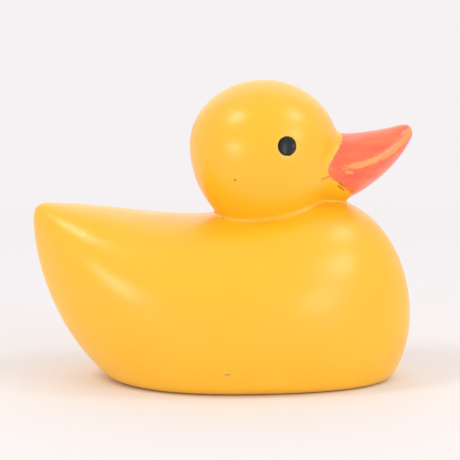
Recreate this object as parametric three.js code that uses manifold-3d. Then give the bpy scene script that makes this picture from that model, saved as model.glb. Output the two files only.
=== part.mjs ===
import * as THREE from 'three';
import { ParametricGeometry } from 'three/addons/geometries/ParametricGeometry.js';
import { mergeVertices } from 'three/addons/utils/BufferGeometryUtils.js';
import Module from 'manifold-3d';

// A small vinyl duck, moulded in one piece and closed all round, so it is one solid.
// The beak points along +X, +Z is up, and the flat underside rests on Z = 0.
// The body and the beak are skins stretched over oval sections, the head is a turned egg, and each eye
// is a dish pressed into the head.

// Driving dimensions, in millimetres.
const BODY_LENGTH = 88.8; // tip of the tail to the front of the breast
const BODY_WIDTH = 49;
const BODY_HEIGHT = 43; // floor to the top of the breast, where the neck sits on it
const BREAST_ROUND = 21.4; // front of the breast back to its top
const BREAST_FRONT_UP = 15; // floor to the foremost point of the breast
const TAIL_DROP = 1.3; // top of the breast down to the top of the tail
const TAIL_ROUND = 2.6; // tip of the tail forward to its top
const TAIL_TIP_DROP = 3.2; // top of the tail down to its tip
const SADDLE_DROP = 4.1; // top of the breast down to the lowest place of the back
const SADDLE_FORWARD = 38; // tip of the tail forward to the lowest place of the back
const STERN_SWEEP = 42; // tip of the tail forward to where the underside levels out
const KEEL_DEPTH = 9.5; // how far the round hull would reach under the floor, which cuts it flat
const HEAD_WIDTH = 34.4;
const NECK_RISE = 12.5; // top of the breast up to the middle of the head
const BEAK_LENGTH = 17.6; // front of the head to the tip of the beak
const BEAK_WIDTH = 19;
const BEAK_TOP_UP = 2.5; // middle of the head up to the top of the beak at the face
const BEAK_LIFT = 2.8; // how much the top of the beak rises on its way out
const BEAK_TIP_UP = 2.7; // middle of the head up to the tip of the beak
const BEAK_TIP_ROUND = 2.5; // how far back from the tip its round end begins
const RIDGE_DOWN = 5; // middle of the head down to the beak's side ridge at the face
const CHIN_DEPTH = 13.4; // middle of the head down to the chin
const EYE_WIDTH = 4.6;
const EYE_DEPTH = 1.3;
const SOLE_EDGE = 3; // how softly the sides turn under into the flat sole

// Powers that shape the curves. A power of 2 makes an oval; more is squarer and less is straighter.
const BODY_SQUARENESS = 2.2; // of each section of the body
const TAIL_TAPER = 1.4; // draws the body's plan in toward the tail, where 1 would be an oval
const STERN_CURVE = 1.9; // of the line from the tail's tip down to the keel
const FLANK_FALL = 4.5; // how soon the line of greatest width falls from the tail to the breast
const BEAK_SQUARENESS = 1.75; // of each section of the beak, which leaves a ridge along each side
const BEAK_SWEEP = 1.7; // how late the beak turns up, and how pointed its plan is
const CHIN_CURVE = 1.4; // of the line from the tip down to the chin

// The head is an egg on its broad end.
const HEAD_FORWARD = 0.108; // ahead of the body's middle, as a share of the body length
const CROWN = 0.88; // height of the top half, as a share of the head's radius
const JOWL = 1.19; // depth of the bottom half, as a share of the head's radius

// The eyes look out to the sides, a little forward and up, as shares of the head's radius.
const EYE_FORWARD = 0.298;
const EYE_UP = 0.084;

const headRadius = HEAD_WIDTH / 2;
const headMiddle = new THREE.Vector3(HEAD_FORWARD * BODY_LENGTH, 0, BODY_HEIGHT + NECK_RISE);

const SECTIONS = 13; // how many sections a skin is stretched over

// How many flat facets stand in for each curve, round the form and along it.
const FACETS = {
  body: { round: 64, along: 40 },
  beak: { round: 28, along: 20 },
  head: { round: 52, along: 26 },
  eye: { round: 24, along: 14 },
};

// A power that keeps the sign, for the bulging ovals of the sections.
function signedPower(value, power) {
  return Math.sign(value) * Math.abs(value) ** power;
}

// The larger of a height and zero, with the corner between the two rounded off over a width.
function softFloor(height, width) {
  const overlap = Math.max(width - Math.abs(height), 0) / width;
  return Math.max(height, 0) + (overlap ** 3 * width) / 6;
}

// From 1 at a share of 0 down to 0 at a share of 1, along a quarter of an oval.
function roundOff(share, power = 2) {
  return Math.max(1 - Math.max(share, 0) ** power, 0) ** (1 / power);
}

// From one height to another along half a wave.
function glide(from, to, share) {
  return from + ((to - from) * (1 - Math.cos(Math.PI * share))) / 2;
}

// A section of the body at a place along it: half width, top, underside and height where it is widest.
function bodySection(x) {
  const end = BODY_LENGTH / 2;
  const tailTopUp = BODY_HEIGHT - TAIL_DROP;
  const tailTipUp = tailTopUp - TAIL_TIP_DROP;
  const saddleUp = BODY_HEIGHT - SADDLE_DROP;
  const tailTop = TAIL_ROUND - end;
  const saddle = SADDLE_FORWARD - end;
  const stern = STERN_SWEEP - end;
  const breastTop = end - BREAST_ROUND;
  const pastBreast = roundOff((x - breastTop) / BREAST_ROUND);

  let top = BREAST_FRONT_UP + (BODY_HEIGHT - BREAST_FRONT_UP) * pastBreast;
  if (x < tailTop) {
    top = tailTipUp + TAIL_TIP_DROP * roundOff((tailTop - x) / TAIL_ROUND);
  } else if (x < saddle) {
    top = glide(tailTopUp, saddleUp, (x - tailTop) / (saddle - tailTop));
  } else if (x < breastTop) {
    top = glide(saddleUp, BODY_HEIGHT, (x - saddle) / (breastTop - saddle));
  }
  let underside = BREAST_FRONT_UP - (BREAST_FRONT_UP + KEEL_DEPTH) * pastBreast;
  if (x < stern) {
    const sweep = roundOff((stern - x) / STERN_SWEEP, STERN_CURVE);
    underside = tailTipUp - (tailTipUp + KEEL_DEPTH) * sweep;
  }
  const fall = ((end - x) / BODY_LENGTH) ** FLANK_FALL;
  const widest = BREAST_FRONT_UP + (tailTipUp - BREAST_FRONT_UP) * fall;
  const halfWidth = (BODY_WIDTH / 2) * roundOff(Math.abs(x) / end) ** (x < 0 ? TAIL_TAPER : 1);
  return [halfWidth, top, underside, widest];
}

// A section of the beak, in the same order. Its root closes inside the head.
function beakSection(x) {
  const face = headMiddle.x + headRadius;
  const out = Math.max(x - face, 0) / BEAK_LENGTH;
  const sweep = out ** BEAK_SWEEP;
  const root = roundOff((face - x) / headRadius);
  const end = roundOff((x - face - BEAK_LENGTH + BEAK_TIP_ROUND) / BEAK_TIP_ROUND);
  const ridge = (BEAK_TIP_UP + RIDGE_DOWN) * sweep - RIDGE_DOWN;
  const top = BEAK_TIP_UP + (BEAK_TOP_UP + BEAK_LIFT * sweep - BEAK_TIP_UP) * end;
  const underside = BEAK_TIP_UP - (BEAK_TIP_UP + CHIN_DEPTH) * roundOff(out, CHIN_CURVE);
  const halfWidth = (BEAK_WIDTH / 2) * roundOff(out, BEAK_SWEEP) * root;
  const heights = [ridge + (top - ridge) * root, ridge + (underside - ridge) * root, ridge];
  return [halfWidth, ...heights.map((height) => height + headMiddle.z)];
}

// A skin over sections from back to front. They stand at even angles round a half circle, so that they
// crowd together at the two ends, and a smooth curve joins them. finish has the last word on heights.
function skin(sectionAt, back, front, squareness, finish, facets) {
  const middle = (back + front) / 2;
  const reachAlong = (front - back) / 2;
  const alongAt = (v) => middle - reachAlong * Math.cos(v * Math.PI);
  const steps = Float32Array.from({ length: SECTIONS }, (step, index) => index / (SECTIONS - 1));
  const rows = Array.from(steps, (step) => sectionAt(alongAt(step)));
  const row = new THREE.CubicInterpolant(steps, Float32Array.from(rows.flat()), 4);
  const power = 2 / squareness;
  const point = (u, v, target) => {
    const [halfWidth, top, underside, widest] = row.evaluate(v);
    const turn = u * 2 * Math.PI;
    const reachUp = Math.sin(turn) > 0 ? top - widest : widest - underside;
    const z = widest + reachUp * signedPower(Math.sin(turn), power);
    target.set(alongAt(v), halfWidth * signedPower(Math.cos(turn), power), finish(z));
  };
  return solid(new ParametricGeometry(point, facets.round, facets.along));
}

const wasm = await Module();
wasm.setup();

// A closed solid from a geometry: shared corners are merged, and slivers that close to a line at a
// pole are dropped.
function solid(geometry) {
  const bare = new THREE.BufferGeometry();
  bare.setAttribute('position', geometry.getAttribute('position'));
  bare.setIndex(geometry.getIndex());
  const merged = mergeVertices(bare, 1e-4);
  const corners = merged.getIndex().array;
  const kept = [];
  for (let i = 0; i < corners.length; i += 3) {
    const [a, b, c] = corners.slice(i, i + 3);
    if (a !== b && b !== c && c !== a) {
      kept.push(a, b, c);
    }
  }
  const vertProperties = Float32Array.from(merged.getAttribute('position').array);
  const triVerts = Uint32Array.from(kept);
  return new wasm.Manifold(new wasm.Mesh({ numProp: 3, vertProperties, triVerts }));
}

// The body: tail raised, breast full, sole flat.
function bodySolid() {
  const end = BODY_LENGTH / 2;
  const finish = (z) => softFloor(z, SOLE_EDGE);
  return skin(bodySection, -end, end, BODY_SQUARENESS, finish, FACETS.body);
}

// The head: half an outline of the egg, turned about the upright axis.
function headSolid() {
  const outline = [];
  const { round, along } = FACETS.head;
  for (let i = 0; i <= along; i += 1) {
    const climb = (i / along - 0.5) * Math.PI;
    const stretch = climb > 0 ? CROWN : JOWL;
    const across = i % along === 0 ? 0 : Math.cos(climb);
    outline.push(new THREE.Vector2(headRadius * across, headRadius * stretch * Math.sin(climb)));
  }
  const egg = new THREE.LatheGeometry(outline, round);
  egg.rotateX(Math.PI / 2);
  egg.translate(headMiddle.x, headMiddle.y, headMiddle.z);
  return solid(egg);
}

// The beak: broad at its root, ridged along both sides, with its tip turned up.
function beakSolid() {
  const front = headMiddle.x + headRadius + BEAK_LENGTH;
  const finish = (z) => z;
  return skin(beakSection, headMiddle.x, front, BEAK_SQUARENESS, finish, FACETS.beak);
}

// The ball that presses one eye's dish into the head. side is 1 on the left and -1 on the right.
function eyeBall(side) {
  const sideways = Math.sqrt(1 - EYE_FORWARD ** 2 - (EYE_UP / CROWN) ** 2);
  const onHead = new THREE.Vector3(EYE_FORWARD, side * sideways, EYE_UP);
  const outward = new THREE.Vector3(onHead.x, onHead.y, onHead.z / CROWN ** 2).normalize();
  const radius = ((EYE_WIDTH / 2) ** 2 + EYE_DEPTH ** 2) / (2 * EYE_DEPTH);
  const ball = new THREE.SphereGeometry(radius, FACETS.eye.round, FACETS.eye.along);
  ball.applyQuaternion(new THREE.Quaternion().setFromUnitVectors(new THREE.Vector3(0, 1, 0), outward));
  const dish = onHead.multiplyScalar(headRadius).add(headMiddle);
  const middle = dish.addScaledVector(outward, radius - EYE_DEPTH);
  ball.translate(middle.x, middle.y, middle.z);
  return solid(ball);
}

// The finished duck as a geometry.
function duckGeometry() {
  const whole = bodySolid().add(headSolid()).add(beakSolid());
  const mesh = whole.subtract(eyeBall(1)).subtract(eyeBall(-1)).getMesh();
  const geometry = new THREE.BufferGeometry();
  geometry.setAttribute('position', new THREE.BufferAttribute(mesh.vertProperties, 3));
  geometry.setIndex(new THREE.BufferAttribute(mesh.triVerts, 1));
  geometry.computeVertexNormals();
  return geometry;
}

const yellowVinyl = new THREE.MeshStandardMaterial({ color: 0xffc84b, roughness: 0.35, metalness: 0 });
const duck = new THREE.Mesh(duckGeometry(), yellowVinyl);
duck.name = 'duck';

const model = new THREE.Group();
model.add(duck);

export default model;
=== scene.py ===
# %% [markdown]
# # A moulded vinyl duck
#
# The duck is one hollow piece of soft vinyl. It was cast in a metal mould, pulled out warm, and then two
# things were painted by hand: the beak, in coral, and the two dished eyes, in black. So this lesson
# makes one skin and paints it in three finishes, on a plain table under studio lamps.

import math

import bpy
import numpy as np
from mathutils import Matrix, Vector


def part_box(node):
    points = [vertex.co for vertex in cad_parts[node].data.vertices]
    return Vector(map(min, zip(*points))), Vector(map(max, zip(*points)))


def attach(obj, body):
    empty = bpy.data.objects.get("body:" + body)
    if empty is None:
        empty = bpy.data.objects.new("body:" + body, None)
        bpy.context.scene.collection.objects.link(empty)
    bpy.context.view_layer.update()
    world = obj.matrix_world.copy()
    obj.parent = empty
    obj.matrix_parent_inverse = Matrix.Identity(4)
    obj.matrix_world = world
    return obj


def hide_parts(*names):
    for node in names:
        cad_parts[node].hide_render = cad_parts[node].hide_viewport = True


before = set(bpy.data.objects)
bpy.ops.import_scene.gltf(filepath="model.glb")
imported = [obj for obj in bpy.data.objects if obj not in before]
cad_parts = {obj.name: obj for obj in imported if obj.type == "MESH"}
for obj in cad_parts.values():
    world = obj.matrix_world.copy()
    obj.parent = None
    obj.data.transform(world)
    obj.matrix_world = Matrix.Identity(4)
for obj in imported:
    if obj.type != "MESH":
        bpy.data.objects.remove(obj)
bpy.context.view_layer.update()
MM = 0.001  # one millimetre in Blender's metres

# %% [markdown]
# ## The camera
#
# The camera comes first, because the shapes are drawn to line up with the photograph through it. The duck
# is seen square from its right side and from slightly above: the far and near edges of the sole make a thin
# ellipse, and its thickness hints at the angle. The angle and the distance here were fitted to the duck's
# outline by a computer and then rounded. The middle of the duck's box is not in the middle of the picture,
# so the camera stands a little to the side and higher, with no lens shift.

# %% Camera
PICTURE = 460  # the photograph's width and height, in pixels
DUCK_FOOT = (222.5, 376.0)  # where the middle of the duck's floor box falls in the photograph, in pixels
MM_PER_PIXEL = 90 / 377.5  # at the duck's distance
CAMERA_RISE = math.radians(9)
CAMERA_DISTANCE = 450 * MM
SENSOR_WIDTH = 36  # mm, a full-frame camera's

towards_camera = Vector((0, -math.cos(CAMERA_RISE), math.sin(CAMERA_RISE)))
picture_right = Vector((1, 0, 0))
picture_up = towards_camera.cross(picture_right)

camera = bpy.data.objects.new("camera", bpy.data.cameras.new("camera"))
bpy.context.scene.collection.objects.link(camera)
bpy.context.scene.camera = camera
camera.data.sensor_width = SENSOR_WIDTH
camera.data.lens = camera.data.sensor_width * CAMERA_DISTANCE / MM / (PICTURE * MM_PER_PIXEL)
aside = (PICTURE / 2 - DUCK_FOOT[0]) * MM_PER_PIXEL * MM
above = (DUCK_FOOT[1] - PICTURE / 2) * MM_PER_PIXEL * MM
camera.location = towards_camera * CAMERA_DISTANCE + picture_right * aside + picture_up * above
camera.rotation_euler = Matrix((picture_right, picture_up, towards_camera)).transposed().to_euler()
camera.data.clip_start = 10 * MM
camera.data.clip_end = 10
print("lens", round(camera.data.lens, 1), "mm, camera at", [round(v, 3) for v in camera.location])

# %% [markdown]
# ## The form
#
# The duck is three swollen forms run into each other: a boat-shaped body with a raised tail, an egg for
# the head, and a beak. The solid that comes with the frame has the same forms in coarse flat faces with
# a hard crease where they meet. A real moulding has no such crease: the mould maker rounds every inside
# corner, so that the warm skin comes out of it.
#
# Modelling that by hand means bevelling a wavy seam between three meshes. It is easier to describe each
# form as a field, which is a number at every point: the distance to its skin, negative inside. Two
# fields can be blended before any mesh is made, and the blend is a smooth fillet of a chosen width.

# %% Measures of the duck
BODY_LENGTH = 88.8
BODY_WIDTH = 49.0
BODY_HEIGHT = 43.0  # floor to the top of the breast
BREAST_ROUND = 21.4  # front of the breast back to its top
BREAST_FRONT_UP = 15.0  # floor to the foremost point of the breast
TAIL_DROP = 1.3  # top of the breast down to the top of the tail
TAIL_ROUND = 2.6  # tip of the tail forward to its top
TAIL_TIP_DROP = 3.2  # top of the tail down to its tip
SADDLE_DROP = 4.1  # top of the breast down to the lowest place of the back
SADDLE_FORWARD = 38.0  # tip of the tail forward to the lowest place of the back
STERN_SWEEP = 42.0  # tip of the tail forward to where the underside levels out
KEEL_DEPTH = 9.5  # how far the round hull would reach under the floor
HEAD_WIDTH = 34.4
NECK_RISE = 12.5  # top of the breast up to the middle of the head
BEAK_LENGTH = 17.6  # front of the head to the tip of the beak
BEAK_WIDTH = 19.0
BEAK_TOP_UP = 2.5  # middle of the head up to the top of the beak at the face
BEAK_LIFT = 2.8  # how much the top of the beak rises on its way out
BEAK_TIP_UP = 2.7  # middle of the head up to the tip of the beak
BEAK_TIP_ROUND = 2.5  # how far back from the tip its round end begins
RIDGE_DOWN = 5.0  # middle of the head down to the side ridge at the face
CHIN_DEPTH = 13.4  # middle of the head down to the chin
EYE_WIDTH = 4.6
EYE_DEPTH = 1.3
HEAD_FORWARD = 0.108  # share of the body length
CROWN = 0.88  # top half of the head, share of its radius
JOWL = 1.19  # bottom half of the head, share of its radius

head_radius = HEAD_WIDTH / 2
head_middle = np.array([HEAD_FORWARD * BODY_LENGTH, 0.0, BODY_HEIGHT + NECK_RISE])
print("head middle", head_middle.round(2), "radius", head_radius)

# %% [markdown]
# The body and the beak are each a row of oval cross sections. What shapes them is a handful of places read
# off the photograph against a millimetre grid: the tail's tip and top, the dip of the back, the top and
# the front of the breast. The overall sizes, the beak's length, and the head's size and place come from
# an outline that a computer fitted to the photograph, and are rounded. Arcs and half waves join all those
# places, as a maker would draw them with curves instead of measuring every millimetre. The plan can't be
# seen from the side, so it is an oval drawn in toward the tail, by as much as the highlight there asks for.

# %% Sections
BODY_SQUARENESS = 2.2  # 2 is an oval, more is squarer
TAIL_TAPER = 1.4  # draws the plan in toward the tail, where 1 would be an oval
STERN_CURVE = 1.9  # of the line from the tail's tip down to the keel
FLANK_FALL = 4.5  # how soon the line of greatest width falls from the tail to the breast
BEAK_SQUARENESS = 1.75  # under 2, so each side comes to a ridge
BEAK_SWEEP = 1.7  # how late the beak turns up, and how pointed its plan is
CHIN_CURVE = 1.4  # of the line from the tip down to the chin


def round_off(share, power=2):
    """From 1 at a share of 0 down to 0 at a share of 1, along a quarter of an oval."""
    return max(1 - max(share, 0) ** power, 0) ** (1 / power)


def glide(start, end, share):
    """From one height to another along half a wave."""
    return start + (end - start) * (1 - math.cos(math.pi * share)) / 2


def body_section(x):
    """Half width, top, underside and height of greatest width of the body at a place along it."""
    end = BODY_LENGTH / 2
    tail_top_up = BODY_HEIGHT - TAIL_DROP
    tail_tip_up = tail_top_up - TAIL_TIP_DROP
    saddle_up = BODY_HEIGHT - SADDLE_DROP
    tail_top = TAIL_ROUND - end
    saddle = SADDLE_FORWARD - end
    stern = STERN_SWEEP - end
    breast_top = end - BREAST_ROUND
    past_breast = round_off((x - breast_top) / BREAST_ROUND)
    top = BREAST_FRONT_UP + (BODY_HEIGHT - BREAST_FRONT_UP) * past_breast
    if x < tail_top:
        top = tail_tip_up + TAIL_TIP_DROP * round_off((tail_top - x) / TAIL_ROUND)
    elif x < saddle:
        top = glide(tail_top_up, saddle_up, (x - tail_top) / (saddle - tail_top))
    elif x < breast_top:
        top = glide(saddle_up, BODY_HEIGHT, (x - saddle) / (breast_top - saddle))
    underside = BREAST_FRONT_UP - (BREAST_FRONT_UP + KEEL_DEPTH) * past_breast
    if x < stern:
        sweep = round_off((stern - x) / STERN_SWEEP, STERN_CURVE)
        underside = tail_tip_up - (tail_tip_up + KEEL_DEPTH) * sweep
    fall = max((end - x) / BODY_LENGTH, 0) ** FLANK_FALL
    widest = BREAST_FRONT_UP + (tail_tip_up - BREAST_FRONT_UP) * fall
    half_width = BODY_WIDTH / 2 * round_off(abs(x) / end) ** (TAIL_TAPER if x < 0 else 1)
    return half_width, top, underside, widest


def beak_section(x):
    """The same four measures of the beak, whose root closes inside the head."""
    face = head_middle[0] + head_radius
    out = max(x - face, 0) / BEAK_LENGTH
    sweep = out**BEAK_SWEEP
    root = round_off((face - x) / head_radius)
    end = round_off((x - face - BEAK_LENGTH + BEAK_TIP_ROUND) / BEAK_TIP_ROUND)
    ridge = (BEAK_TIP_UP + RIDGE_DOWN) * sweep - RIDGE_DOWN
    top = BEAK_TIP_UP + (BEAK_TOP_UP + BEAK_LIFT * sweep - BEAK_TIP_UP) * end
    underside = BEAK_TIP_UP - (BEAK_TIP_UP + CHIN_DEPTH) * round_off(out, CHIN_CURVE)
    half_width = BEAK_WIDTH / 2 * round_off(out, BEAK_SWEEP) * root
    level = head_middle[2]
    high = level + ridge + (top - ridge) * root
    low = level + ridge + (underside - ridge) * root
    return half_width, high, low, level + ridge


print("body across its middle", [round(v, 1) for v in body_section(0)])

# %% [markdown]
# The sections stand at even angles round a half circle, so they crowd together at the two ends, where the
# form closes. A spline through them gives every section in between. A natural spline is used because its
# bend is continuous too: on a glossy skin a jump in the bend shows as a kink in the highlight.

# %% Skins
SECTIONS = 13
NEAREST_END = 0.9995  # share of the way to an end, past which a section keeps its proportions


def spline_through(rows):
    """A function that gives the row at any place from 0 to len(rows) - 1, with a continuous bend."""
    rows = np.array(rows, float)
    count = len(rows)
    balance = np.eye(count)
    pull = np.zeros_like(rows)
    for i in range(1, count - 1):
        balance[i, i - 1 : i + 2] = (1, 4, 1)
        pull[i] = 6 * (rows[i - 1] - 2 * rows[i] + rows[i + 1])
    bend = np.linalg.solve(balance, pull)

    def at(place):
        i = np.clip(place.astype(int), 0, count - 2)
        b = (place - i)[..., None]
        a = 1 - b
        straight = a * rows[i] + b * rows[i + 1]
        return straight + ((a**3 - a) * bend[i] + (b**3 - b) * bend[i + 1]) / 6

    return at


class Skin:
    """A closed form stretched over sections."""

    def __init__(self, section_at, squareness, back, front):
        self.middle = (front + back) / 2
        self.reach = (front - back) / 2
        angles = np.linspace(0, np.pi, SECTIONS)
        rows = [section_at(self.middle - self.reach * math.cos(angle)) for angle in angles]
        self.row_at = spline_through(rows)
        self.half_width = max(row[0] for row in rows)
        self.power = squareness

    def field(self, x, y, z):
        """Below zero inside the form. Across and along, it is measured as on a ball of radius 1."""
        share = (x - self.middle) / self.reach
        near = np.clip(share, -NEAREST_END, NEAREST_END)
        ball = np.sqrt(1 - near**2)  # how wide a ball would be here
        row = self.row_at((np.arcsin(near) / np.pi + 0.5) * (SECTIONS - 1))
        half_width, top, underside, widest = (row[..., k] for k in range(4))
        reach = np.where(z > widest, top - widest, widest - underside)
        sides = np.abs(y / half_width) ** self.power + np.abs((z - widest) / reach) ** self.power
        across = sides ** (1 / self.power) * ball
        return (np.sqrt(share**2 + across**2) - 1) * self.half_width


body = Skin(body_section, BODY_SQUARENESS, -BODY_LENGTH / 2, BODY_LENGTH / 2)
beak_tip = head_middle[0] + head_radius + BEAK_LENGTH
beak = Skin(beak_section, BEAK_SQUARENESS, head_middle[0], beak_tip)
print("body half width", round(body.half_width, 2), "beak tip", round(beak_tip, 2))

# %% [markdown]
# The head is an egg standing on its broad end: a ball whose top half is pressed down and whose bottom
# half is drawn out into the cheeks. Its distance needs only a division by its own steepness.


# %% Head
def head_field(x, y, z):
    """Distance to the egg of the head, in millimetres."""
    from_middle = [x - head_middle[0], y, z - head_middle[2]]
    tall = head_radius * np.where(from_middle[2] > 0, CROWN, JOWL)
    radii = [head_radius, head_radius, tall]
    ring = np.sqrt(sum((d / r) ** 2 for d, r in zip(from_middle, radii)))
    steepness = np.sqrt(sum((d / r**2) ** 2 for d, r in zip(from_middle, radii)))
    return ring * (ring - 1) / np.maximum(steepness, 1e-6)


print("head", HEAD_WIDTH, "mm wide and", round(head_radius * (CROWN + JOWL), 1), "mm tall")

# %% [markdown]
# The fillets differ along the duck. The neck sits in a tight groove a few millimetres wide. The beak
# grows out of the face more softly. The sole is pressed flat and its edge is rounded. Each is one call
# of the same function, with the width over which two skins flow into each other.

# %% Fillets
NECK_FILLET = 2.9
BEAK_FILLET = 3.6
SOLE_FILLET = 3.0


def joined(a, b, width):
    """Two fields as one form, with the crease between them filled over a width."""
    overlap = np.maximum(width - np.abs(a - b), 0) / width
    return np.minimum(a, b) - overlap**3 * width / 6


def cut_back(a, b, width):
    """What two fields have in common, with the edge between them rounded over a width."""
    return -joined(-a, -b, width)


print("fillets at the neck, the beak and the sole", NECK_FILLET, BEAK_FILLET, SOLE_FILLET, "mm")

# %% [markdown]
# Each eye is a shallow dish: a ball a little larger than the dish is pressed into the side of the head.
# The eyes look sideways, a little forward and up.

# %% Eyes
EYE_FORWARD = 0.298  # share of the head's radius
EYE_UP = 0.084
EYE_FILLET = 0.35

eye_sideways = math.sqrt(1 - EYE_FORWARD**2 - (EYE_UP / CROWN) ** 2)
eye_on_head = np.array([EYE_FORWARD, -eye_sideways, EYE_UP])
eye_outward = eye_on_head / (1, 1, CROWN**2)
eye_outward /= np.linalg.norm(eye_outward)
eye_ball_radius = ((EYE_WIDTH / 2) ** 2 + EYE_DEPTH**2) / (2 * EYE_DEPTH)
eye_middle = head_middle + eye_on_head * head_radius
eye_ball = eye_middle + eye_outward * (eye_ball_radius - EYE_DEPTH)
print("eye at", eye_middle.round(2), "dish ball radius", round(eye_ball_radius, 2))


def eye_field(x, y, z):
    """Distance to the balls that press the eyes, which mirror each other across the duck."""
    away = [x - eye_ball[0], -np.abs(y) - eye_ball[1], z - eye_ball[2]]
    return np.sqrt(sum(d**2 for d in away)) - eye_ball_radius


# %% [markdown]
# Far from its skin, a form's field is no longer a good distance, and the body and the beak would reach
# out and touch things they are nowhere near. So each is kept to its own part of the duck: the beak ends
# inside the head, and the body ends below the beak.

# %% Whole duck as one field
BEAK_ROOT = 16  # mm forward, deep inside the head
BODY_TOP = 48  # mm above the table, a little over the highest place of the body
LEAST_STEEPNESS = 0.3  # where a field is flatter than this, it counts as this steep


def whole(body_distance, beak_distance, x, y, z):
    """The finished duck from its two measured skins, as one field."""
    beak_distance = np.maximum(beak_distance, BEAK_ROOT - x)
    body_distance = np.maximum(body_distance, z - BODY_TOP)
    face = joined(head_field(x, y, z), beak_distance, BEAK_FILLET)
    face = cut_back(face, -eye_field(x, y, z), EYE_FILLET)
    return cut_back(joined(body_distance, face, NECK_FILLET), -z, SOLE_FILLET)


def true_distance(rough, x, y, z, step=0.02):
    """A rough field divided by its own steepness, which makes it a distance near its skin."""
    value = rough(x, y, z)
    slopes = [
        (rough(x + step, y, z) - rough(x - step, y, z)) / (2 * step),
        (rough(x, y + step, z) - rough(x, y - step, z)) / (2 * step),
        (rough(x, y, z + step) - rough(x, y, z - step)) / (2 * step),
    ]
    return value / np.maximum(np.sqrt(sum(s**2 for s in slopes)), LEAST_STEEPNESS)


def duck_distance(x, y, z):
    """Distance to the duck's skin at any points, in millimetres."""
    return whole(true_distance(body.field, x, y, z), true_distance(beak.field, x, y, z), x, y, z)


skin_gap = duck_distance(*np.array([[0.0, 0.0, BODY_HEIGHT / 2]]).T)
print("the heart of the body lies", round(float(-skin_gap[0]), 1), "mm inside the skin")

# %% [markdown]
# ## From field to mesh
#
# The field is sampled on an even grid. Wherever its sign changes inside a grid cell, the skin passes
# through that cell, and the cell gets one corner of the mesh. Cells that share a crossed grid edge are
# joined by a four-sided face. This is the surface net way: it gives even quads everywhere, which
# smooth shading likes, and no poles at the tail or the crown.

# %% Sampling
CELL = 0.56  # grid spacing in millimetres: about 70 thousand quads
MARGIN = 3 * CELL


def grid_axis(low, high):
    """Even places from just below low to just above high."""
    return np.arange(low - MARGIN, high + MARGIN, CELL)


def steep_free(values):
    """A sampled field divided by its own steepness."""
    slopes = np.gradient(values, CELL)
    return values / np.maximum(np.sqrt(sum(s**2 for s in slopes)), LEAST_STEEPNESS)


solid_low, solid_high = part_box("duck")
axes = [grid_axis(solid_low[k] / MM, solid_high[k] / MM) for k in range(3)]
X, Y, Z = np.meshgrid(*axes, indexing="ij", sparse=True)
sampled = whole(steep_free(body.field(X, Y, Z)), steep_free(beak.field(X, Y, Z)), X, Y, Z)
print("grid", sampled.shape, "points inside", int((sampled < 0).sum()))


# %% Surface net
def surface_net(values, axes):
    """Corners and quads of the skin where the sampled values change sign."""
    inside = values < 0
    counts = np.zeros([n - 1 for n in values.shape], int)
    for corner in np.ndindex(2, 2, 2):
        counts += inside[tuple(slice(c, c + n - 1) for c, n in zip(corner, values.shape))]
    crossed = (counts > 0) & (counts < 8)
    numbers = np.full(crossed.shape, -1)
    numbers[crossed] = np.arange(crossed.sum())
    cell = np.argwhere(crossed)

    total = np.zeros((len(cell), 3))
    found = np.zeros(len(cell))
    for along in range(3):
        for offset in np.ndindex(2, 2):
            start = cell.copy()
            start[:, [a for a in range(3) if a != along]] += offset
            end = start.copy()
            end[:, along] += 1
            a = values[tuple(start.T)]
            b = values[tuple(end.T)]
            crosses = (a < 0) != (b < 0)
            share = np.where(crosses, a / np.where(crosses, a - b, 1), 0)
            spot = np.stack([axes[k][start[:, k]] for k in range(3)], 1)
            spot[:, along] += share * (axes[along][end[:, along]] - axes[along][start[:, along]])
            total[crosses] += spot[crosses]
            found += crosses
    corners = total / found[:, None]

    quads = []
    for along in range(3):
        across = [a for a in range(3) if a != along]
        before = [slice(None)] * 3
        after = [slice(None)] * 3
        before[along] = slice(0, -1)
        after[along] = slice(1, None)
        edge = np.argwhere(inside[tuple(before)] != inside[tuple(after)])
        ring = []
        for offset in ((0, 0), (1, 0), (1, 1), (0, 1)):
            cell_of = edge.copy()
            cell_of[:, across] -= offset
            ring.append(numbers[tuple(cell_of.T)])
        quad = np.stack(ring, 1)
        turned = inside[tuple(edge.T)] == (along == 1)
        quad[turned] = quad[turned][:, ::-1]
        quads.append(quad)
    return corners, np.concatenate(quads)


corners, quads = surface_net(sampled, axes)
print("corners", len(corners), "quads", len(quads))

# %% [markdown]
# A net's corners lie near the skin but not on it, and the small errors would show as a ripple in the
# gloss. So each corner slides along the field's slope until it is on the skin. Four short slides are
# enough. The same slope is the surface's true normal, which is kept for shading.


# %% Settling
SLIDES = 4
LEAST_SQUARED_SLOPE = 0.25  # keeps a slide short where the field is nearly flat


def slope_at(points, step=0.03):
    """Direction and steepness of the duck's field at points."""
    slope = np.zeros_like(points)
    for k in range(3):
        shift = np.zeros(3)
        shift[k] = step
        slope[:, k] = duck_distance(*(points + shift).T) - duck_distance(*(points - shift).T)
    return slope / (2 * step)


for _ in range(SLIDES):
    slope = slope_at(corners)
    steepness = np.maximum((slope**2).sum(1), LEAST_SQUARED_SLOPE)
    slide = duck_distance(*corners.T) / steepness
    corners -= slope * np.clip(slide, -CELL, CELL)[:, None]
left_over = np.abs(duck_distance(*corners.T)).max()
corners[:, 2] = np.maximum(corners[:, 2], 0)
slope = slope_at(corners)
normals = slope / np.linalg.norm(slope, axis=1)[:, None]
print("largest distance from the skin", round(float(left_over), 4), "mm")

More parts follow.
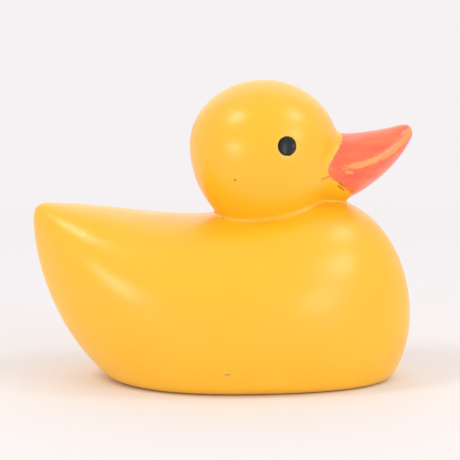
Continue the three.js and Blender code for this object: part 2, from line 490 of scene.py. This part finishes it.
# %% Mesh
duck_mesh = bpy.data.meshes.new("duck_skin")
duck_mesh.from_pydata((corners * MM).tolist(), [], quads.tolist())
duck_mesh.update()
duck_mesh.shade_smooth()
duck_mesh.normals_split_custom_set_from_vertices(normals.tolist())
duck = bpy.data.objects.new("duck_skin", duck_mesh)
bpy.context.scene.collection.objects.link(duck)
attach(duck, "root")
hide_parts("duck")
print("duck_skin", len(duck_mesh.polygons), "quads, highest corner", round(corners[:, 2].max(), 2), "mm")

# %% [markdown]
# ## Colours and nodes
#
# Colours are read off the photograph as sRGB hex, and one function turns them to the linear numbers that
# light is added up in. One small function adds a node. All patterns are laid out in millimetres on the
# duck itself, so a pattern's scale is simply one over its real size.


# %% Helpers for materials
def linear(srgb_hex):
    """An sRGB hex colour as linear red, green, blue and a solid alpha."""
    parts = [int(srgb_hex[i : i + 2], 16) / 255 for i in (1, 3, 5)]
    return (*[p / 12.92 if p <= 0.04045 else ((p + 0.055) / 1.055) ** 2.4 for p in parts], 1)


def add(tree, kind, feeds=None, **settings):
    """Add one node: its settings, then each input as a number or as another node's output."""
    node = tree.nodes.new("ShaderNode" + kind)
    for name, value in settings.items():
        setattr(node, name, value)
    for socket, feed in (feeds or {}).items():
        if isinstance(feed, bpy.types.NodeSocket):
            tree.links.new(feed, node.inputs[socket])
        else:
            node.inputs[socket].default_value = feed
    return node


painted_pvc = bpy.data.materials.new("moulded soft PVC, hand painted")
painted_pvc.use_nodes = True
finish = painted_pvc.node_tree
finish.nodes.clear()
duck_mesh.materials.append(painted_pvc)
on_duck = add(finish, "TexCoord").outputs["Object"]
spot = add(finish, "VectorMath", {0: on_duck, 1: (1000, 1000, 1000)}, operation="MULTIPLY").outputs[0]
print("middle grey, linear:", [round(v, 3) for v in linear("#808080")])

# %% [markdown]
# ## The vinyl
#
# The skin is soft PVC, dyed yellow all through and cast in a polished mould. Three things give it away.
# Light sinks two millimetres or so into it, so shadows on it are warm and have no hard edge. Its gloss is
# a blurred one, because the hot skin shrinks off the mould wall. And it never shrinks quite evenly: over
# every centimetre or so it swells and sinks by a few hundredths of a millimetre, which breaks up the
# outline of every highlight. Handling adds faint duller patches.

# %% Moulded soft PVC
VINYL = linear("#FFC21E")
VINYL_THICK = linear("#FFBD18")  # where the wall is thicker it is a shade deeper
WAVE_SIZE = 8.0  # mm from swell to swell
WAVE_DEPTH = 0.2  # mm, the most the noise could reach: it mostly keeps to a quarter of that
HANDLING_SIZE = 7.0  # mm, about a fingertip's smudge
THICKNESS_SIZE = 14.0  # mm from a thin place of the wall to a thick one
CLEAN_ROUGHNESS = 0.29
HANDLED_ROUGHNESS = 0.37

wall = add(finish, "TexNoise", {"Vector": spot, "Scale": 1 / THICKNESS_SIZE, "Detail": 1}).outputs[0]
vinyl_colour = add(finish, "Mix", {0: wall, 6: VINYL, 7: VINYL_THICK}, data_type="RGBA").outputs[2]
smudge = add(finish, "TexNoise", {"Vector": spot, "Scale": 1 / HANDLING_SIZE, "Detail": 4}).outputs[0]
handled = {"Value": smudge, "From Min": 0.2, "From Max": 0.8}
handled |= {"To Min": CLEAN_ROUGHNESS, "To Max": HANDLED_ROUGHNESS}
vinyl_rough = add(finish, "MapRange", handled).outputs[0]
wave = add(finish, "TexNoise", {"Vector": spot, "Scale": 1 / WAVE_SIZE, "Detail": 1.5}).outputs[0]
relief = add(finish, "Math", {0: wave, 1: WAVE_DEPTH}, operation="MULTIPLY").outputs[0]
print("waves", WAVE_SIZE, "mm wide and", WAVE_DEPTH, "mm deep")

# %% [markdown]
# ## The coral beak
#
# The beak is brushed with coral enamel, a solvent paint that bites into the vinyl and dries to a thin
# even gloss. It could be a second material on the beak's faces, but then its edge would follow the mesh.
# Painted on as a mask, it can have the edge that the brush left: a wavering line on the face, with
# teeth where the hairs lifted. The line was read off the photograph, turned from pixels to
# millimetres through the camera above, and then moved a little. Every corner of the mesh stores how
# far it is past that line, and fine noise adds the teeth.

# %% Edge of the beak paint
PAINT_LINE = [
    (30.6, 44.2),
    (28.6, 45.8),
    (27.0, 47.4),
    (25.4, 48.6),
    (24.2, 49.8),
    (24.3, 51.6),
    (25.8, 53.8),
    (26.9, 55.6),
    (27.8, 56.8),
    (27.8, 58),
]  # how far forward and how high the paint starts, in mm, from the chin to the top of the beak
CHIN = 43.6  # mm above the table: nothing below it is painted


def beside(line, x, z):
    """Distance in mm from a line seen from the side, above zero on its right as it is walked."""
    nearest = np.full(len(x), np.inf)
    signed = np.zeros(len(x))
    for (x0, z0), (x1, z1) in zip(line, line[1:]):
        run, rise = x1 - x0, z1 - z0
        share = np.clip(((x - x0) * run + (z - z0) * rise) / (run**2 + rise**2), 0, 1)
        gap = np.hypot(x - x0 - share * run, z - z0 - share * rise)
        side = np.where((x - x0) * rise > (z - z0) * run, 1, -1)
        closer = gap < nearest
        signed[closer] = (gap * side)[closer]
        nearest = np.minimum(nearest, gap)
    return signed


def keep_on_skin(name, values):
    """Store one number for each corner of the duck's mesh, for its material to read."""
    duck_mesh.attributes.new(name, "FLOAT", "POINT").data.foreach_set("value", values)


past_line = np.minimum(beside(PAINT_LINE, corners[:, 0], corners[:, 2]), corners[:, 2] - CHIN)
keep_on_skin("past_paint_line", past_line)
print("painted corners", int((past_line > 0).sum()), "of", len(corners))

# %% Coral enamel
CORAL = linear("#F9603E")
CORAL_THIN = linear("#FB7A42")  # brushed out thin, with the yellow below it showing through
TOOTH_LENGTH = 1.8  # mm, along the brush stroke
TOOTH_WIDTH = 0.6  # mm
TOOTH_REACH = 1.1  # mm
PAINT_EDGE = 0.08  # mm, half the width over which the paint ends
STREAK_LENGTH = 9.0  # mm
STREAK_WIDTH = 1.6  # mm

past = add(finish, "Attribute", attribute_name="past_paint_line").outputs["Fac"]
hairs = (1 / TOOTH_LENGTH, 1 / TOOTH_WIDTH, 1 / TOOTH_WIDTH)
hair = add(finish, "VectorMath", {0: spot, 1: hairs}, operation="MULTIPLY").outputs[0]
teeth = add(finish, "TexNoise", {"Vector": hair, "Scale": 1, "Detail": 2}).outputs[0]
ragged = add(finish, "Math", {0: teeth, 1: TOOTH_REACH, 2: past}, operation="MULTIPLY_ADD").outputs[0]
coral_at = {"Value": ragged, "From Min": TOOTH_REACH / 2 - PAINT_EDGE}
coral_at["From Max"] = TOOTH_REACH / 2 + PAINT_EDGE
in_coral = add(finish, "MapRange", coral_at).outputs[0]

streaks = (1 / STREAK_LENGTH, 1 / STREAK_WIDTH, 1 / STREAK_WIDTH)
streak = add(finish, "VectorMath", {0: spot, 1: streaks}, operation="MULTIPLY").outputs[0]
streak = add(finish, "TexNoise", {"Vector": streak, "Scale": 1, "Detail": 2}).outputs[0]
thin = add(finish, "MapRange", {"Value": streak, "From Min": 0.35, "From Max": 0.7}).outputs[0]
coral = add(finish, "Mix", {0: thin, 6: CORAL, 7: CORAL_THIN}, data_type="RGBA").outputs[2]
print("teeth", TOOTH_WIDTH, "mm wide, streaks", STREAK_WIDTH, "mm wide")

# %% [markdown]
# The ridge along each side of the beak is what rubs against everything, so the enamel is worn off it in
# a stripe a little over a millimetre wide. What is left is not clean vinyl: the solvent carried some red
# into it, and it stays apricot. The stripe is drawn the same way as the paint's edge, as a distance from
# a line, and noise breaks it near the face.

# %% Worn ridge
WEAR_LINE = [
    (29.9, 51.6),
    (32, 51.8),
    (35, 52.7),
    (37.6, 53.8),
    (40, 55.2),
    (41.8, 56.6),
    (42.8, 57.9),
    (44.5, 60),
]  # how far forward and how high the stripe runs, in mm
WEAR_WIDTH = 1.4  # mm
WEAR_RAGGED = 0.7  # mm, how far the noise moves the stripe's edge
WEAR_EDGE = 0.12  # mm, half the width over which the stripe ends
STAINED = linear("#FF9C50")

from_wear = beside(WEAR_LINE, corners[:, 0], corners[:, 2])
keep_on_skin("from_wear_line", from_wear)
wear = add(finish, "Attribute", attribute_name="from_wear_line").outputs["Fac"]
wear = add(finish, "Math", {0: wear}, operation="ABSOLUTE").outputs[0]
wear = add(finish, "Math", {0: teeth, 1: -WEAR_RAGGED, 2: wear}, operation="MULTIPLY_ADD").outputs[0]
edge = WEAR_WIDTH / 2 - WEAR_RAGGED / 2
worn = {"Value": wear, "From Min": edge + WEAR_EDGE, "From Max": edge - WEAR_EDGE}
in_wear = add(finish, "MapRange", worn).outputs[0]
coral = add(finish, "Mix", {0: in_wear, 6: coral, 7: STAINED}, data_type="RGBA").outputs[2]
on_beak = add(finish, "Mix", {0: in_coral, 6: vinyl_colour, 7: coral}, data_type="RGBA").outputs[2]
print("stripe from", WEAR_LINE[0], "to", WEAR_LINE[-1])

# %% [markdown]
# ## Strokes and specks
#
# A handmade thing has its accidents. Loose hairs of the brush left a few short strokes behind the beak.
# There is a pinhole in the cheek, where a bubble of air sat against the mould, and there are a few specks
# and nicks from use. One pale spot on the tail is a painted highlight: the glint of a tiny raised bump,
# put in as colour. Each is a stroke of a given width between two spots on the duck's right side. A mesh
# would need tiny faces for them, so each is found in the material, as the distance to that stroke.

# %% Small marks
BRUSHED = linear("#F07A35")
DARK_EDGE = linear("#C9661D")
PINHOLE = linear("#5A3A10")
SCUFF = linear("#B08A48")
# A painted highlight: a pale colour that stands in for the glint on a tiny raised bump on the tail.
PAINTED_GLINT = linear("#FFD98A")
STROKE_EDGE = 0.07  # mm, half the width over which a stroke ends

# The colour, its strength, the two ends as (forward, up) in mm, and the width in mm.
MARKS = [
    (STAINED, 0.7, (27.5, 50.9), (29.4, 51.1), 0.35),
    (STAINED, 0.9, (28.6, 50.2), (29.7, 50.0), 0.8),
    (BRUSHED, 0.9, (22.9, 48.6), (24.9, 49.3), 0.4),
    (DARK_EDGE, 0.9, (26.9, 47.6), (27.8, 46.8), 0.42),
    (DARK_EDGE, 0.9, (26.7, 46.8), (28.1, 45.7), 0.42),
    (DARK_EDGE, 0.7, (30.1, 45.2), (30.3, 45.0), 0.4),
    (PINHOLE, 0.9, (2.9, 49.0), (2.95, 49.05), 0.42),
    (SCUFF, 0.45, (0.0, 39.1), (0.4, 39.1), 0.4),
    (SCUFF, 0.7, (0.7, 5.7), (1.8, 5.8), 0.4),
    # painted highlight of a tiny raised bump on the tail
    (PAINTED_GLINT, 0.4, (-32.2, 36.1), (-31.6, 36.1), 0.6),
    (SCUFF, 0.3, (31.3, 32.6), (31.4, 32.7), 0.4),
    (SCUFF, 0.3, (-35.5, 14.5), (-35.4, 14.6), 0.4),
]

side_on = add(finish, "VectorMath", {0: spot, 1: (1, 0, 1)}, operation="MULTIPLY").outputs[0]
sideways = add(finish, "SeparateXYZ", {0: spot}).outputs["Y"]
right_side = add(finish, "Math", {0: sideways, 1: 0}, operation="LESS_THAN").outputs[0]


def stroke(start, end, width):
    """Where a stroke lies on the duck's right side: 1 on it, 0 off it."""
    root = Vector((start[0], 0, start[1]))
    reach = Vector((end[0], 0, end[1])) - root
    out = add(finish, "VectorMath", {0: side_on, 1: root}, operation="SUBTRACT").outputs[0]
    per_length = reach / reach.length_squared
    share = add(finish, "VectorMath", {0: out, 1: per_length}, operation="DOT_PRODUCT").outputs["Value"]
    share = add(finish, "Clamp", {0: share}).outputs[0]
    nearest = add(finish, "VectorMath", {0: reach, "Scale": share}, operation="SCALE").outputs[0]
    gap = add(finish, "VectorMath", {0: out, 1: nearest}, operation="DISTANCE").outputs["Value"]
    inside = {"Value": gap, "From Min": width / 2 + STROKE_EDGE, "From Max": width / 2 - STROKE_EDGE}
    within = add(finish, "MapRange", inside).outputs[0]
    return add(finish, "Math", {0: within, 1: right_side}, operation="MULTIPLY").outputs[0]


marked = on_beak
for colour, strength, start, end, width in MARKS:
    on_mark = stroke(start, end, width)
    share = add(finish, "Math", {0: on_mark, 1: strength}, operation="MULTIPLY").outputs[0]
    marked = add(finish, "Mix", {0: share, 6: marked, 7: colour}, data_type="RGBA").outputs[2]
print("small marks", len(MARKS))

# %% [markdown]
# ## The black eyes
#
# Each dish was filled by one touch of a loaded brush with black enamel, which stops at the dish's rim. It
# is not quite black: a satin paint picks up the white room. The dish itself does the shading, since its
# upper side faces down into the dark and its lower side faces the lamps.

# %% Black enamel
EYE_BLACK = linear("#0B0C10")
RIM_WAVER = 0.16  # mm
WAVER_SIZE = 1.2  # mm from waver to waver
RIM_INSET = 0.05  # mm, how far inside the dish's rim the paint stops
RIM_EDGE = 0.06  # mm, half the width over which it ends

mirrored = add(finish, "VectorMath", {0: spot}, operation="ABSOLUTE").outputs[0]
left_eye = tuple(np.abs(eye_middle))
from_eye = add(finish, "VectorMath", {0: mirrored, 1: left_eye}, operation="DISTANCE").outputs["Value"]
waver = add(finish, "TexNoise", {"Vector": spot, "Scale": 1 / WAVER_SIZE, "Detail": 1}).outputs[0]
from_eye = add(finish, "Math", {0: waver, 1: RIM_WAVER, 2: from_eye}, operation="MULTIPLY_ADD").outputs[0]
rim = EYE_WIDTH / 2 + RIM_WAVER / 2 - RIM_INSET
eye_at = {"Value": from_eye, "From Min": rim + RIM_EDGE, "From Max": rim - RIM_EDGE}
in_eye = add(finish, "MapRange", eye_at).outputs[0]
colour = add(finish, "Mix", {0: in_eye, 6: marked, 7: EYE_BLACK}, data_type="RGBA").outputs[2]
print("eye paint", EYE_WIDTH, "mm wide")

# %% [markdown]
# ## One surface from three finishes
#
# Vinyl and both enamels are plastics with almost the same index, near 1.5, so one shader can carry all
# three: the masks above choose its colour, its roughness and its relief. Light sinks in furthest in red,
# less in green and hardly in blue, which is what makes the folds of a yellow thing turn orange.
#
# Over that gloss lies a thin film. On the vinyl it is plasticiser that has crept out with age, and on the
# beak it is the enamel's own clear top. It is smoother than what is under it, so a highlight gets a
# brighter heart inside a wide soft one. The black was dabbed on in the dish and has no such film.

# %% Painted skin
PVC_IOR = 1.53
CORAL_ROUGHNESS = 0.32
BLACK_ROUGHNESS = 0.38
PAINT_THICKNESS = 0.02  # mm
WORN_DEPTH = 0.01  # mm
VINYL_FILM = 0.25
CORAL_FILM = 0.5
FILM_ROUGHNESS = 0.3
SINKING_LIGHT = 0.25  # share of the light that sinks in
SINKING_DEPTH = 2.5  # mm, for red
SINKING_BY_COLOUR = (1.0, 0.45, 0.1)  # of that depth, for red, green and blue

roughness = add(finish, "Mix", {0: in_coral, 2: vinyl_rough, 3: CORAL_ROUGHNESS}).outputs[0]
roughness = add(finish, "Mix", {0: in_eye, 2: roughness, 3: BLACK_ROUGHNESS}).outputs[0]
painted = {0: in_coral, 1: PAINT_THICKNESS, 2: relief}
relief = add(finish, "Math", painted, operation="MULTIPLY_ADD").outputs[0]
relief = add(finish, "Math", {0: in_wear, 1: -WORN_DEPTH, 2: relief}, operation="MULTIPLY_ADD").outputs[0]
bumped = add(finish, "Bump", {"Height": relief, "Strength": 1, "Distance": MM}).outputs[0]
gloss_film = add(finish, "Mix", {0: in_coral, 2: VINYL_FILM, 3: CORAL_FILM}).outputs[0]
gloss_film = add(finish, "Mix", {0: in_eye, 2: gloss_film, 3: 0.0}).outputs[0]
skin_shader = add(
    finish,
    "BsdfPrincipled",
    {
        "Base Color": colour,
        "Roughness": roughness,
        "IOR": PVC_IOR,
        "Normal": bumped,
        "Subsurface Weight": SINKING_LIGHT,
        "Subsurface Radius": SINKING_BY_COLOUR,
        "Subsurface Scale": SINKING_DEPTH * MM,
        "Coat Weight": gloss_film,
        "Coat Roughness": FILM_ROUGHNESS,
    },
).outputs[0]
add(finish, "OutputMaterial", {"Surface": skin_shader})
print("nodes in the finish", len(finish.nodes))

# %% [markdown]
# ## The table and the room
#
# The duck stands on white paper that runs back out of the picture, in a white room. The paper near the
# duck is real: it takes the shadow and the yellow light that the duck throws down. Further off, the eye
# only needs an even pale field, so there the camera sees the paper's own colour, however the lamps fall
# away. The room does the same for the camera and for reflections.

# %% Paper
PAPER = linear("#F6F2F3")
FADE_START = 0.1  # metres from the duck to where the even field begins to take over
FADE_END = 0.32

paper = bpy.data.materials.new("white paper")
paper.use_nodes = True
sheet = paper.node_tree
sheet.nodes.clear()
out_along = add(sheet, "TexCoord").outputs["Object"]
distance = add(sheet, "VectorMath", {0: out_along}, operation="LENGTH").outputs["Value"]
fade = {"Value": distance, "From Min": FADE_START, "From Max": FADE_END}
far = add(sheet, "MapRange", fade).outputs[0]
to_camera = add(sheet, "LightPath").outputs["Is Camera Ray"]
far = add(sheet, "Math", {0: far, 1: to_camera}, operation="MULTIPLY").outputs[0]
matt = add(sheet, "BsdfDiffuse", {"Color": PAPER}).outputs[0]
even = add(sheet, "Emission", {"Color": PAPER, "Strength": 1}).outputs[0]
lit = add(sheet, "MixShader", {0: far, 1: matt, 2: even}).outputs[0]
add(sheet, "OutputMaterial", {"Surface": lit})

table_mesh = bpy.data.meshes.new("table")
half = 5  # metres from the duck to each edge of the paper
drop = -0.02 * MM  # a hair below the sole, so that the two flat faces don't fight
edges = [(-half, -half, drop), (half, -half, drop), (half, half, drop), (-half, half, drop)]
table_mesh.from_pydata(edges, [], [(0, 1, 2, 3)])
table_mesh.materials.append(paper)
table = bpy.data.objects.new("table", table_mesh)
bpy.context.scene.collection.objects.link(table)
print("paper", 2 * half, "metres across")

# %% Room
ROOM_GLOW = 0.68

room = bpy.data.worlds.new("white room")
bpy.context.scene.world = room
room.use_nodes = True
air = room.node_tree
air.nodes.clear()
ray = add(air, "LightPath").outputs
seen = add(air, "Math", {0: ray["Is Camera Ray"], 1: ray["Is Glossy Ray"]}, operation="MAXIMUM").outputs[0]
seen = add(air, "Math", {0: seen, 1: ray["Is Transmission Ray"]}, operation="MAXIMUM").outputs[0]
glow = add(air, "Background", {"Color": (1, 1, 1, 1), "Strength": ROOM_GLOW}).outputs[0]
backdrop = add(air, "Background", {"Color": PAPER, "Strength": 1}).outputs[0]
either = add(air, "MixShader", {0: seen, 1: glow, 2: backdrop}).outputs[0]
add(air, "OutputWorld", {"Surface": either})
print("room glow", ROOM_GLOW)

# %% [markdown]
# ## The lamps
#
# Every soft spot on the duck is the mirror image of a lamp. For each spot in the photograph, the line of
# sight was bounced off the skin there, and the bounced lines fell into five bundles: five round soft
# lamps. Their directions were rounded, and their powers set by comparing renders with the photograph. The
# pale rim along the head, the back and the beak mirrors a bright wall, so one wide lamp stands behind the
# duck for it. Each is given by its direction seen from the duck: turned round from the camera's side, to
# the picture's right above zero, and raised above the table.

# %% Lamps
LAMPS_AIM = 35  # mm above the table, about half way up the duck

# The name, turn and rise in degrees, distance and width in metres, and power in watts.
LAMPS = [
    ("left_high", -68, 54, 0.7, 0.2, 0.84),
    ("left_low", -45, 4, 0.7, 0.2, 0.72),
    ("right_high", 78, 52, 0.7, 0.2, 0.58),
    ("right_middle", 52, 26, 0.7, 0.2, 0.6),
    ("right_low", 40, 3, 0.7, 0.19, 0.4),
    ("wall_behind", 180, 34, 1.2, 1.6, 2.6),
]

for name, turn, rise, distance, width, power in LAMPS:
    lamp = bpy.data.lights.new(name, "AREA")
    lamp.shape = "DISK"
    lamp.size = width
    lamp.energy = power
    turn, rise = math.radians(turn), math.radians(rise)
    towards = Vector((math.sin(turn) * math.cos(rise), -math.cos(turn) * math.cos(rise), math.sin(rise)))
    stand = bpy.data.objects.new(name, lamp)
    stand.location = Vector((0, 0, LAMPS_AIM * MM)) + towards * distance
    stand.rotation_euler = towards.to_track_quat("Z", "Y").to_euler()
    stand.visible_camera = False
    bpy.context.scene.collection.objects.link(stand)
    print(name, "at", [round(v, 2) for v in stand.location], power, "W")

bpy.context.scene.view_settings.view_transform = "Standard"
